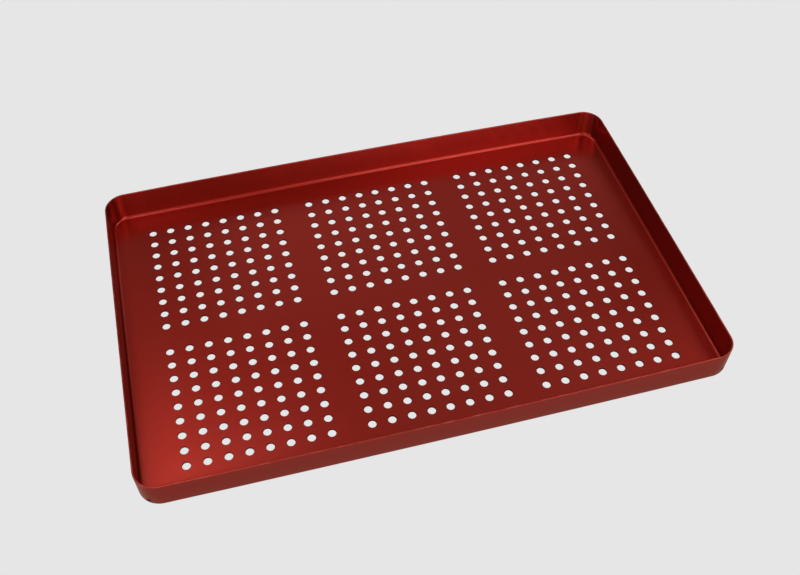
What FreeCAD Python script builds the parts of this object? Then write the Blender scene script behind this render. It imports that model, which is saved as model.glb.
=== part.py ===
import FreeCAD, Part

import math
import os

# Perforated instrument tray: one sheet of aluminium, drawn into a shallow basin and pierced with six groups of
# holes. Millimetres. The origin is at the middle of the underside, X runs along the tray, Y across it and +Z
# is up.

# Overall size, over the rim
tray_length = 284.0
tray_width = 183.0
tray_height = 17.0

# The drawn sheet
sheet = 0.8
wall_draft = 1.2  # degrees that the walls lean outwards
corner_radius = 10.5  # outside of the rim, seen from above
bend_radius = 2.2  # inside, where the floor turns up into the wall
rim_break = 0.2  # taken off both edges of the trimmed rim

# The pierced floor
hole_diameter = 4.0
hole_flats = 8  # a round hole is drawn with this many flats, each touching the round
column_pitch = 9.6
row_pitch = 8.25
centre_pitch = 9.25  # the two columns either side of the middle, where two strokes of the punch meet
edge_land = 9.0  # least bare floor between the bend and the centre of an outermost hole
groups_along = 3
groups_across = 2

punch_overrun = 1.0  # how far a punch runs past the sheet

# Each corner of the tray turns about an upright axis
corner_axis_x = tray_length / 2 - corner_radius
corner_axis_y = tray_width / 2 - corner_radius

# The leaning wall, and the centre of the bend that joins it to the floor
lean = math.radians(wall_draft)
wall_width = sheet / math.cos(lean)
edge_break = min(rim_break, wall_width / 3)
shoulder = tray_height - edge_break
outer_bend = bend_radius + sheet
bend_from_axis = corner_radius - (shoulder - outer_bend) * math.tan(lean) - outer_bend / math.cos(lean)


def wall_section():
    """Section through the wall at one end of the tray, from the edge of the flat floor to the trimmed rim."""

    def point(from_axis, height):
        return FreeCAD.Vector(corner_axis_x + from_axis, 0, height)

    def on_bend(radius, share):
        angle = share * (math.pi / 2 - lean)
        return point(bend_from_axis + radius * math.sin(angle), outer_bend - radius * math.cos(angle))

    outer_arc = [on_bend(outer_bend, share) for share in (0, 0.5, 1)]
    inner_arc = [on_bend(bend_radius, share) for share in (1, 0.5, 0)]
    inside = corner_radius - wall_width
    wall = [
        outer_arc[-1],
        point(corner_radius, shoulder),
        point(corner_radius - edge_break, tray_height),
        point(inside + edge_break, tray_height),
        point(inside, shoulder),
        inner_arc[0],
    ]
    curves = [Part.LineSegment(first, last) for first, last in zip(wall, wall[1:])]
    curves.append(Part.Arc(*inner_arc))
    curves.append(Part.LineSegment(inner_arc[-1], outer_arc[0]))
    curves.append(Part.Arc(*outer_arc))
    return Part.Face(Part.Wire([curve.toShape() for curve in curves]))


def floor_edge():
    """Outline of the flat floor on the underside: a rounded rectangle that starts at the middle of one end."""
    start = FreeCAD.Vector(corner_axis_x + bend_from_axis, 0, 0)
    here = start
    curves = []
    for quarter, (side_x, side_y) in enumerate(((1, 1), (-1, 1), (-1, -1), (1, -1))):
        arc = []
        for share in (0, 0.5, 1):
            angle = (quarter + share) * math.pi / 2
            x = side_x * corner_axis_x + bend_from_axis * math.cos(angle)
            y = side_y * corner_axis_y + bend_from_axis * math.sin(angle)
            arc.append(FreeCAD.Vector(x, y, 0))
        curves.append(Part.LineSegment(here, arc[0]))
        curves.append(Part.Arc(*arc))
        here = arc[-1]
    curves.append(Part.LineSegment(here, start))
    return Part.Wire([curve.toShape() for curve in curves])


def drawn_sheet():
    """The tray before piercing: the section of the wall carried round the flat floor."""
    outline = floor_edge()
    wall = outline.makePipe(wall_section())
    floor = Part.Face(outline).extrude(FreeCAD.Vector(0, 0, sheet))
    return wall.fuse(floor).removeSplitter()


def pierced_places(half_floor, pitch, groups):
    """Hole centres along one direction: as many in each group as the floor has room for, and one place left out
    between two groups."""
    half_run = half_floor - edge_land
    in_group = math.floor((2 * half_run / pitch + 2) / groups) - 1
    places = groups * (in_group + 1) - 1
    numbers = [number for number in range(places) if (number + 1) % (in_group + 1)]
    return [(number - (places - 1) / 2) * pitch for number in numbers]


def punch(x, y):
    """One punch: an upright prism with two of its flats facing along the tray."""
    to_corner = hole_diameter / 2 / math.cos(math.pi / hole_flats)
    corners = []
    for number in range(hole_flats + 1):
        angle = (number + 0.5) * 2 * math.pi / hole_flats
        corner_x = x + to_corner * math.cos(angle)
        corner_y = y + to_corner * math.sin(angle)
        corners.append(FreeCAD.Vector(corner_x, corner_y, -punch_overrun))
    return Part.Face(Part.makePolygon(corners)).extrude(FreeCAD.Vector(0, 0, sheet + 2 * punch_overrun))


def pierce(basin):
    """Punches the groups of holes through the floor."""
    rows = pierced_places(corner_axis_y + bend_from_axis, row_pitch, groups_across)
    columns = pierced_places(corner_axis_x + bend_from_axis, column_pitch, groups_along)
    closed_up = (column_pitch - centre_pitch) / 2
    punches = []
    for column in columns:
        x = column - math.copysign(closed_up, column) if column else column
        punches.extend(punch(x, y) for y in rows)
    return basin.cut(Part.makeCompound(punches))


def main():
    os.makedirs("parts", exist_ok=True)
    tray = pierce(drawn_sheet())
    tray.exportStep("parts/tray.step")
    print("tray", "valid" if tray.isValid() else "not valid", len(tray.Solids), "solid", round(tray.Volume, 1), "mm3")


main()
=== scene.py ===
import math

import bmesh
import bpy
from mathutils import Matrix, Vector


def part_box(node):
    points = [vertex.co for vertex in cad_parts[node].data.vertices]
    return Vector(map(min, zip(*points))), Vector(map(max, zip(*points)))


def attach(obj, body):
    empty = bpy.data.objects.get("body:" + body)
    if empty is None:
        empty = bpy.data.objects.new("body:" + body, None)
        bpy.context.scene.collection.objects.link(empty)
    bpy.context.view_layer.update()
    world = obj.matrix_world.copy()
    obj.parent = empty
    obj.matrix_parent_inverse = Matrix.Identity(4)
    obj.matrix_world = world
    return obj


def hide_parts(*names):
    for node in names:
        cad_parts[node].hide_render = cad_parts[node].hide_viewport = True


# Perforated instrument tray in red anodised aluminium, as it lies on a pale studio floor. Metres, in the
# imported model's own frame: X along the tray, Y across it, +Z up, origin at the middle of the underside.

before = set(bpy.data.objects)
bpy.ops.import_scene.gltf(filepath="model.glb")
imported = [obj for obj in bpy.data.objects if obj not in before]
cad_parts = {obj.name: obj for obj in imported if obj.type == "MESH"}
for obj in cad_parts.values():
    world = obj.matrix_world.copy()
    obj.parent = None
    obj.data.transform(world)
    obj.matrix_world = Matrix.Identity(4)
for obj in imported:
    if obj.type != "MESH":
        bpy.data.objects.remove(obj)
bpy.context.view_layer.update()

MM = 0.001

# The tray's own sizes
half_length, half_width, rim_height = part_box("tray")[1]
sheet = 0.8 * MM
wall_lean = math.radians(1.2)
corner_radius = 10.5 * MM  # outside of the rim, seen from above
bend_radius = 1.7 * MM  # inside, where the floor turns up into the wall
hole_radius = 2.0 * MM
column_pitch = 9.6 * MM
row_pitch = 8.25 * MM
centre_pitch = 9.25 * MM  # the two columns either side of the middle
columns_in_group = 8
rows_in_group = 9

# How finely the tray is modelled
sides_of_hole = 20
corner_steps = 10
bend_steps = 6
rim_rounding = 0.34 * MM
rim_steps = 3
hole_lip = 0.1 * MM
lip_steps = 1
weld_distance = 0.01 * MM
place_slack = 0.02 * MM  # within which a point counts as being at a place
corner_zone = 2 * MM  # in from the outermost of the tray, where its corners are looked for
rim_zone = 0.2 * MM  # down from the top, where the rim's edges are looked for
sharp_turn = math.radians(60)  # past which an edge is still to be rounded
smooth_turn = math.radians(30)  # below which the faces are shaded as one

# How drawing and piercing left the four sides, at the rim and at the foot: how far the middle bows out, how
# far the whole side stands out, and how much further out its +X or +Y end stands
rim_spring = {
    "back": (1.4 * MM, 0.15 * MM, 0),
    "front": (1.0 * MM, -0.1 * MM, -0.25 * MM),
    "left": (0.1 * MM, -0.35 * MM, -0.3 * MM),
    "right": (0.25 * MM, -0.12 * MM, 0),
}
foot_spring = {
    "back": (0.65 * MM, -0.25 * MM, 0.08 * MM),
    "front": (0.65 * MM, -0.27 * MM, -0.07 * MM),
    "left": (0.1 * MM, -0.2 * MM, -0.4 * MM),
    "right": (0.2 * MM, 0, 0.15 * MM),
}
floor_crown = 0.5 * MM
cage_rows = 9  # points of the lattice along each side
cage_slack = 0.01  # as place_slack is, but in half lengths of the lattice

# The colours of the anodised finish
dye_deep = (0.371, 0.0135, 0.0049, 1)
dye_thin = (0.393, 0.0145, 0.0054, 1)
speck_grey = (0.24, 0.06, 0.05, 1)
haze_red = (0.412, 0.059, 0.0355, 1)
# paler red along the rim's top: partly wear, partly a painted highlight where the rim's edge catches the
# light
wear_and_highlight_red = (0.56, 0.115, 0.08, 1)

# Its texture. The scales are in waves or cells to the metre
cloud_scale = 14
mottle_scale = 120
etch_scale = 900
draw_line_scale = (500, 500, 12)  # fine across the lines and long up the wall
speck_scale = 70
soft_detail = 2  # octaves of the cloud and the draw lines
fine_detail = 3  # octaves of the mottle and the etch
marked_cells = (0.91, 0.93)  # from 0 to 1, the random number past which a cell holds a speck
speck_edge = (0.02, 0.045)  # from the middle of its cell, in cells
speck_cover = 0.35  # how much of the dye a speck hides
draw_line_depth = 0.4  # against the etch
relief_strength = 0.03
relief_depth = 0.2 * MM

# Its gloss
satin = 0.28  # roughness of the bare metal, to which the next four add
cloud_roughness = 0.03
mottle_roughness = 0.02
draw_line_roughness = 0.015
speck_roughness = 0.1
clear_layer = 0.3
clear_roughness = 0.19
clear_index = 1.6
haze = 0.12  # share of the light that the layer scatters widely
haze_roughness = 0.7
rim_wear_and_highlight = 0.65  # how much larger that share is on the rim, where it is partly wear and partly a painted highlight
wear_and_highlight_starts = 0.5 * MM  # below the top of the rim
wear_and_highlight_is_full = 0.1 * MM  # below the top of the rim
wear_and_highlight_patches = (0.3, 0.7)  # of the mottle, between which the wear and the painted highlight set in

# The studio's floor and background
black = (0, 0, 0, 1)
pale_floor = (0.791, 0.791, 0.791, 1)  # as the camera sees both
floor_glow = (0.485, 0.510, 0.480, 1)  # the light that the floor throws up
floor_blush = (0.415, 0.290, 0.232, 1)  # beside the tray, where its walls throw red light back
blush_reach = 18 * MM
shade_edge = (-3 * MM, -1 * MM)  # past the side of the tray, where the shade beneath it ends
floor_size = 40
floor_drop = 0.02 * MM  # below the tray

# Rings of softboxes round the tray: each ring's elevation, and in it each softbox's azimuth from +Y towards
# +X, in degrees, and its power in watts
softbox_rings = {
    8: ((-145, 1.1), (-115, 1.3), (165, 1.2)),
    25: ((-160, 0.65), (-60, 0.1), (0, 0.3), (30, 0.2), (150, 0.6), (175, 0.25)),
    42: ((-20, 0.06), (5, 0.13), (30, 0.1), (90, 0.45), (150, 0.6)),
    52: ((60, 0.08), (80, 0.65)),
    60: ((-145, 0.6), (-52, 0.77), (-35, 0.16), (0, 0.07), (35, 0.11), (120, 0.3), (150, 0.7)),
    70: ((-100, 0.45), (-24, 0.14), (120, 0.3)),
    80: ((-90, 0.4),),
}
softbox_size = 0.3
softbox_distance = 0.9

# The camera, where the photograph was taken from
sensor_width = 36.0  # millimetres, as is the lens
lens = 45.248
camera_place = (-84.52 * MM, -322.2 * MM, 399.82 * MM)
camera_turn = (40.069, 0.170, -14.827)  # degrees


def added(add, **how):
    """Adds an object by hand, with nothing else selected."""
    bpy.ops.object.select_all(action="DESELECT")
    add(**how)
    return bpy.context.active_object


def start_edit():
    bpy.ops.object.mode_set(mode="EDIT")


def finish_edit():
    bpy.ops.object.mode_set(mode="OBJECT")


def pick(piece, test, kind="verts"):
    """Selects the vertices or edges of the piece in edit mode that pass the test, and nothing else."""
    bpy.ops.mesh.select_mode(type={"verts": "VERT", "edges": "EDGE"}[kind])
    bpy.ops.mesh.select_all(action="DESELECT")
    mesh = bmesh.from_edit_mesh(piece.data)
    for element in getattr(mesh, kind):
        if test(element):
            element.select_set(True)
    mesh.select_flush_mode()
    bmesh.update_edit_mesh(piece.data)


def near(value, target, slack=place_slack):
    return abs(value - target) < slack


def lies_at(edge, axis, place):
    """Whether both ends of the edge are at this place along the axis."""
    return all(near(getattr(vertex.co, axis), place) for vertex in edge.verts)


def turns_sharply(edge):
    return len(edge.link_faces) == 2 and abs(edge.calc_face_angle()) > sharp_turn


def modifier(piece, kind, **settings):
    """Puts a modifier on the piece and applies it."""
    bpy.ops.object.select_all(action="DESELECT")
    bpy.context.view_layer.objects.active = piece
    piece.select_set(True)
    change = piece.modifiers.new(kind.lower(), kind)
    for name, value in settings.items():
        setattr(change, name, value)
    bpy.ops.object.modifier_apply(modifier=change.name)


def repeated(piece, count, step):
    """Repeats the piece by the step, each copy welded to the next."""
    modifier(piece, "ARRAY", count=count, use_relative_offset=False, use_constant_offset=True,
             constant_offset_displace=step, use_merge_vertices=True, merge_threshold=weld_distance)


def copied(piece, shift):
    """A copy of the piece with its own mesh, moved by the shift."""
    twin = piece.copy()
    twin.data = piece.data.copy()
    bpy.context.collection.objects.link(twin)
    twin.data.transform(Matrix.Translation(shift))
    return twin


def joined(pieces):
    bpy.ops.object.select_all(action="DESELECT")
    for piece in pieces:
        piece.select_set(True)
    bpy.context.view_layer.objects.active = pieces[0]
    bpy.ops.object.join()
    return pieces[0]


def carried_on(piece, axis, start, end):
    """Extrudes the edges that lie at the start of a stretch along the axis to its end."""
    pick(piece, lambda edge: lies_at(edge, axis, start), "edges")
    step = [end - start if name == axis else 0 for name in "xyz"]
    bpy.ops.mesh.extrude_region_move(TRANSFORM_OT_translate={"value": step})


def rounded(piece, test, width, steps):
    """Bevels the edges of the piece in edit mode that pass the test."""
    pick(piece, test, "edges")
    bpy.ops.mesh.bevel(offset=width, offset_type="OFFSET", segments=steps, affect="EDGES")


def pierced_cell():
    """One hole with the floor around it, as large as the pitch."""
    cell = added(bpy.ops.mesh.primitive_plane_add, size=1)
    start_edit()
    bpy.ops.transform.resize(value=(column_pitch, row_pitch, 1))
    bpy.ops.mesh.delete(type="ONLY_FACE")
    bpy.ops.mesh.select_all(action="SELECT")
    bpy.ops.mesh.subdivide(number_cuts=sides_of_hole // 4 - 1)
    half_a_side = (0, 0, math.pi / sides_of_hole)
    bpy.ops.mesh.primitive_circle_add(vertices=sides_of_hole, radius=hole_radius, rotation=half_a_side)
    bpy.ops.mesh.select_all(action="SELECT")
    bpy.ops.mesh.bridge_edge_loops()
    finish_edit()
    return cell


def quarter_tray():
    """A quarter of the tray without thickness: the pierced floor, from the middle outwards, and the walls."""
    first_column = centre_pitch / 2
    half_group = columns_in_group // 2
    cell = pierced_cell()
    repeated(cell, rows_in_group, (0, row_pitch, 0))
    outer_group = copied(cell, Vector((first_column + (half_group + 1) * column_pitch, row_pitch, 0)))
    inner_group = copied(cell, Vector((first_column, row_pitch, 0)))
    bpy.data.objects.remove(cell)
    repeated(inner_group, half_group, (column_pitch, 0, 0))
    repeated(outer_group, columns_in_group, (column_pitch, 0, 0))
    quarter = joined([inner_group, outer_group])
    start_edit()

    # The plain strip between the groups, and the cell that meets its mirror image
    strip_start = first_column + (half_group - 0.5) * column_pitch
    strip_end = strip_start + column_pitch
    pick(quarter, lambda edge: any(lies_at(edge, "x", side) for side in (strip_start, strip_end)), "edges")
    bpy.ops.mesh.bridge_edge_loops()
    overhang = first_column - column_pitch / 2
    pick(quarter, lambda vertex: near(vertex.co.x, overhang))
    bpy.ops.transform.translate(value=(-overhang, 0, 0))

    # Plain floor towards the middle, and out to the foot of the walls
    wall_height = rim_height - sheet
    lean_out = wall_height * math.tan(wall_lean)
    foot_length = half_length - sheet - lean_out
    foot_width = half_width - sheet - lean_out
    carried_on(quarter, "y", row_pitch / 2, 0)
    carried_on(quarter, "y", (rows_in_group + 0.5) * row_pitch, foot_width)
    carried_on(quarter, "x", strip_end + columns_in_group * column_pitch, foot_length)

    # The walls go straight up from the floor's edge, then lean out
    pick(quarter, lambda edge: lies_at(edge, "x", foot_length) or lies_at(edge, "y", foot_width), "edges")
    bpy.ops.mesh.extrude_region_move(TRANSFORM_OT_translate={"value": (0, 0, wall_height)})
    pick(quarter, lambda vertex: vertex.co.z > wall_height / 2 and near(vertex.co.x, foot_length))
    bpy.ops.transform.translate(value=(lean_out, 0, 0))
    pick(quarter, lambda vertex: vertex.co.z > wall_height / 2 and near(vertex.co.y, foot_width))
    bpy.ops.transform.translate(value=(0, lean_out, 0))
    finish_edit()
    return quarter


def at_corner(edge):
    """The upright edge where two walls meet."""
    first, last = (vertex.co for vertex in edge.verts)
    along = min(abs(first.x), abs(last.x))
    across = min(abs(first.y), abs(last.y))
    far_out = along > half_length - corner_zone and across > half_width - corner_zone
    return far_out and abs(first.z - last.z) > rim_height / 2


def at_foot(edge):
    """The edge of the floor, where a wall stands up."""
    return lies_at(edge, "z", 0) and turns_sharply(edge)


def at_rim(edge):
    """An edge of the square-cut rim."""
    return turns_sharply(edge) and all(vertex.co.z > rim_height - rim_zone for vertex in edge.verts)


def at_lip(edge):
    """The edge of a hole in the floor."""
    return turns_sharply(edge) and lies_at(edge, "z", sheet)


def sprung(tray):
    """Moves the sides as they sprang, and crowns the floor, with a lattice round the whole tray. Only the
    lattice's outermost points move sideways, so that the holes stay where they were punched."""
    lattice = added(bpy.ops.object.add, type="LATTICE")
    cage = lattice.data
    cage.points_u = cage.points_v = cage_rows
    cage.points_w = 2
    cage.interpolation_type_u = cage.interpolation_type_v = "KEY_CARDINAL"
    cage.interpolation_type_w = "KEY_LINEAR"
    size = Vector((2 * half_length, 2 * half_width, rim_height))
    lattice.scale = size
    lattice.location = (0, 0, rim_height / 2)
    bpy.context.view_layer.update()

    def stands_out(side, station, up):
        ends = zip(foot_spring[side], rim_spring[side])
        bow, shift, skew = (foot + (rim - foot) * up for foot, rim in ends)
        return bow * (1 - station * station) + shift + skew * station

    for point in cage.points:
        along, across, up = 2 * point.co.x, 2 * point.co.y, point.co.z + 0.5
        place = point.co_deform.copy()
        for side, sign in (("right", 1), ("left", -1)):
            if near(along, sign, cage_slack):
                place.x += sign * stands_out(side, across, up) / size.x
        for side, sign in (("back", 1), ("front", -1)):
            if near(across, sign, cage_slack):
                place.y += sign * stands_out(side, along, up) / size.y
        place.z += (1 - along * along) * (1 - across * across) * floor_crown * (1 - up) / size.z
        point.co_deform = place
    modifier(tray, "LATTICE", object=lattice)
    bpy.data.objects.remove(lattice)


def tray_shell():
    """The whole tray: four quarters, its corners and its bend rounded, then given the sheet's thickness."""
    tray = quarter_tray()
    tray.name = "anodised_tray"
    modifier(tray, "MIRROR", use_axis=(True, True, False), merge_threshold=weld_distance)
    start_edit()
    bpy.ops.mesh.select_all(action="SELECT")
    bpy.ops.mesh.remove_doubles(threshold=weld_distance)
    bpy.ops.mesh.normals_make_consistent(inside=True)
    rounded(tray, at_corner, corner_radius - sheet, corner_steps)
    rounded(tray, at_foot, bend_radius, bend_steps)
    bpy.ops.mesh.select_all(action="SELECT")
    bpy.ops.transform.translate(value=(0, 0, sheet))
    finish_edit()
    modifier(tray, "SOLIDIFY", thickness=sheet, offset=-1, use_even_offset=True, use_quality_normals=True)
    start_edit()
    rounded(tray, at_rim, rim_rounding, rim_steps)
    rounded(tray, at_lip, hole_lip, lip_steps)
    finish_edit()
    sprung(tray)
    bpy.ops.object.shade_smooth_by_angle(angle=smooth_turn)
    return tray


class Wire:
    """One socket's output, which arithmetic carries on from with Math nodes."""

    def __init__(self, finish, socket):
        self.finish = finish
        self.socket = socket

    def maths(self, operation, *terms):
        return self.finish.node("ShaderNodeMath", {"operation": operation}, dict(enumerate(terms)))

    def __add__(self, other):
        return self.maths("ADD", self, other)

    def __sub__(self, other):
        return self.maths("SUBTRACT", self, other)

    def __rsub__(self, other):
        return self.maths("SUBTRACT", other, self)

    def __mul__(self, other):
        return self.maths("MULTIPLY", self, other)

    def __abs__(self):
        return self.maths("ABSOLUTE", self)

    def at_least(self, other):
        return self.maths("MAXIMUM", self, other)

    __radd__ = __add__
    __rmul__ = __mul__


class Finish:
    """A material's or the world's node tree, with nodes added one call at a time."""

    def __init__(self, owner):
        owner.use_nodes = True
        self.tree = owner.node_tree
        self.tree.nodes.clear()

    def node(self, kind, settings=None, sockets=None, out=0):
        made = self.tree.nodes.new(kind)
        for name, value in (settings or {}).items():
            setattr(made, name, value)
        for name, value in (sockets or {}).items():
            if isinstance(value, Wire):
                self.tree.links.new(value.socket, made.inputs[name])
            else:
                made.inputs[name].default_value = value
        return Wire(self, made.outputs[out]) if made.outputs else None

    def noise(self, place, scale, detail):
        return self.node("ShaderNodeTexNoise", {}, {"Vector": place, "Scale": scale, "Detail": detail})

    def rise(self, value, start, end):
        """Goes smoothly from 0 at the start to 1 at the end."""
        return self.node("ShaderNodeMapRange", {"interpolation_type": "SMOOTHSTEP"},
                         {"Value": value, "From Min": start, "From Max": end})

    def mix(self, share, first, second):
        """The first colour, with this share of the second."""
        return self.node("ShaderNodeMix", {"data_type": "RGBA"}, {0: share, 6: first, 7: second}, out=2)


def red_anodised():
    """Satin aluminium under a clear red anodic layer: a fine etch, faint clouds in the dye, draw lines up the
    walls, a few dull specks and a paler rim, partly worn and partly a painted highlight."""
    material = bpy.data.materials.new("red_anodised_satin")
    finish = Finish(material)
    place = finish.node("ShaderNodeTexCoord", out="Object")

    # Unevenness of the dye, the etch and the drawing, from coarse to fine
    cloud = finish.noise(place, cloud_scale, soft_detail)
    mottle = finish.noise(place, mottle_scale, fine_detail)
    etch = finish.noise(place, etch_scale, fine_detail)
    up_the_wall = finish.node("ShaderNodeMapping", {}, {"Vector": place, "Scale": draw_line_scale})
    draw_line = finish.noise(up_the_wall, 1, soft_detail)

    # Specks up to a millimetre across, in one cell of twelve
    cells = {"Vector": place, "Scale": speck_scale}
    to_centre = finish.node("ShaderNodeTexVoronoi", {}, cells)
    cell_colour = finish.node("ShaderNodeTexVoronoi", {}, cells, out="Color")
    cell_number = finish.node("ShaderNodeSeparateColor", {}, {"Color": cell_colour})
    speck = finish.rise(cell_number, *marked_cells) * (1 - finish.rise(to_centre, *speck_edge))

    # Wear along the top of the rim, and a painted highlight there, broken up by the mottle
    height = finish.node("ShaderNodeSeparateXYZ", {}, {"Vector": place}, out="Z")
    up_the_rim = finish.rise(height, rim_height - wear_and_highlight_starts, rim_height - wear_and_highlight_is_full)
    wear_and_highlight = up_the_rim * finish.rise(mottle, *wear_and_highlight_patches)

    dye = finish.mix(cloud, dye_deep, dye_thin)
    unevenness = cloud_roughness * cloud + mottle_roughness * mottle + draw_line_roughness * draw_line
    relief = finish.node("ShaderNodeBump", {}, {
        "Height": etch + draw_line_depth * draw_line,
        "Strength": relief_strength,
        "Distance": relief_depth,
    })
    metal = finish.node("ShaderNodeBsdfPrincipled", {}, {
        "Base Color": finish.mix(speck_cover * speck, dye, speck_grey),
        "Metallic": 1.0,
        "Roughness": satin + unevenness + speck_roughness * speck,
        "Normal": relief,
        "Coat Weight": clear_layer,
        "Coat Roughness": clear_roughness,
        "Coat IOR": clear_index,
    })
    scatter = finish.node("ShaderNodeBsdfPrincipled", {}, {
        "Base Color": finish.mix(wear_and_highlight, haze_red, wear_and_highlight_red),
        "Metallic": 1.0,
        "Roughness": haze_roughness,
        "Normal": relief,
    })
    # On the rim's top the paler scatter is wear and a painted highlight together
    surface = finish.node("ShaderNodeMixShader", {}, {0: haze + rim_wear_and_highlight * wear_and_highlight, 1: metal, 2: scatter})
    finish.node("ShaderNodeOutputMaterial", {}, {"Surface": surface})
    return material


def studio_floor():
    """A pale seamless floor that shows one even grey to the camera, and is in the shade beneath the tray."""
    floor = added(bpy.ops.mesh.primitive_plane_add, size=floor_size, location=(0, 0, -floor_drop))
    floor.name = "studio_floor"
    material = bpy.data.materials.new("pale_floor")
    finish = Finish(material)
    place = finish.node("ShaderNodeTexCoord", out="Object")
    along = finish.node("ShaderNodeSeparateXYZ", {}, {"Vector": place}, out="X")
    across = finish.node("ShaderNodeSeparateXYZ", {}, {"Vector": place}, out="Y")
    past_end = abs(along) - half_length
    past_side = abs(across) - half_width
    beyond = past_end.at_least(past_side)
    open_floor = finish.mix(finish.rise(beyond, 0, blush_reach), floor_blush, floor_glow)
    light = finish.mix(finish.rise(beyond, *shade_edge), black, open_floor)
    seen = finish.node("ShaderNodeLightPath", out="Is Camera Ray")
    glow = finish.node("ShaderNodeEmission", {}, {
        "Color": finish.mix(seen, light, pale_floor),
        "Strength": 1.0,
    })
    finish.node("ShaderNodeOutputMaterial", {}, {"Surface": glow})
    floor.data.materials.append(material)


def background():
    """Beyond the floor the camera sees the same grey, and the tray sees nothing."""
    world = bpy.data.worlds.new("studio")
    bpy.context.scene.world = world
    finish = Finish(world)
    seen = finish.node("ShaderNodeLightPath", out="Is Camera Ray")
    sky = finish.node("ShaderNodeBackground", {}, {
        "Color": finish.mix(seen, black, pale_floor),
        "Strength": 1.0,
    })
    finish.node("ShaderNodeOutputWorld", {}, {"Surface": sky})


def softbox(azimuth, elevation, power):
    """A square softbox that faces the tray."""
    name = "softbox_%d_%d" % (azimuth, elevation)
    turn = math.radians(azimuth)
    tilt = math.radians(elevation)
    towards = Vector((math.cos(tilt) * math.sin(turn), math.cos(tilt) * math.cos(turn), math.sin(tilt)))
    light = bpy.data.lights.new(name, "AREA")
    light.size = softbox_size
    light.energy = power
    lamp = bpy.data.objects.new(name, light)
    bpy.context.collection.objects.link(lamp)
    lamp.location = softbox_distance * towards
    lamp.rotation_euler = towards.to_track_quat("Z", "Y").to_euler()
    lamp.visible_camera = False


def studio():
    background()
    studio_floor()
    for elevation, ring in softbox_rings.items():
        for azimuth, power in ring:
            softbox(azimuth, elevation, power)


def camera():
    data = bpy.data.cameras.new("camera")
    data.sensor_width = sensor_width
    data.lens = lens
    eye = bpy.data.objects.new("camera", data)
    bpy.context.collection.objects.link(eye)
    eye.location = camera_place
    eye.rotation_euler = [math.radians(angle) for angle in camera_turn]
    bpy.context.scene.camera = eye


def main():
    camera()
    tray = tray_shell()
    tray.data.materials.append(red_anodised())
    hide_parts("tray")
    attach(tray, "root")
    studio()
    bpy.context.scene.view_settings.view_transform = "Standard"


main()
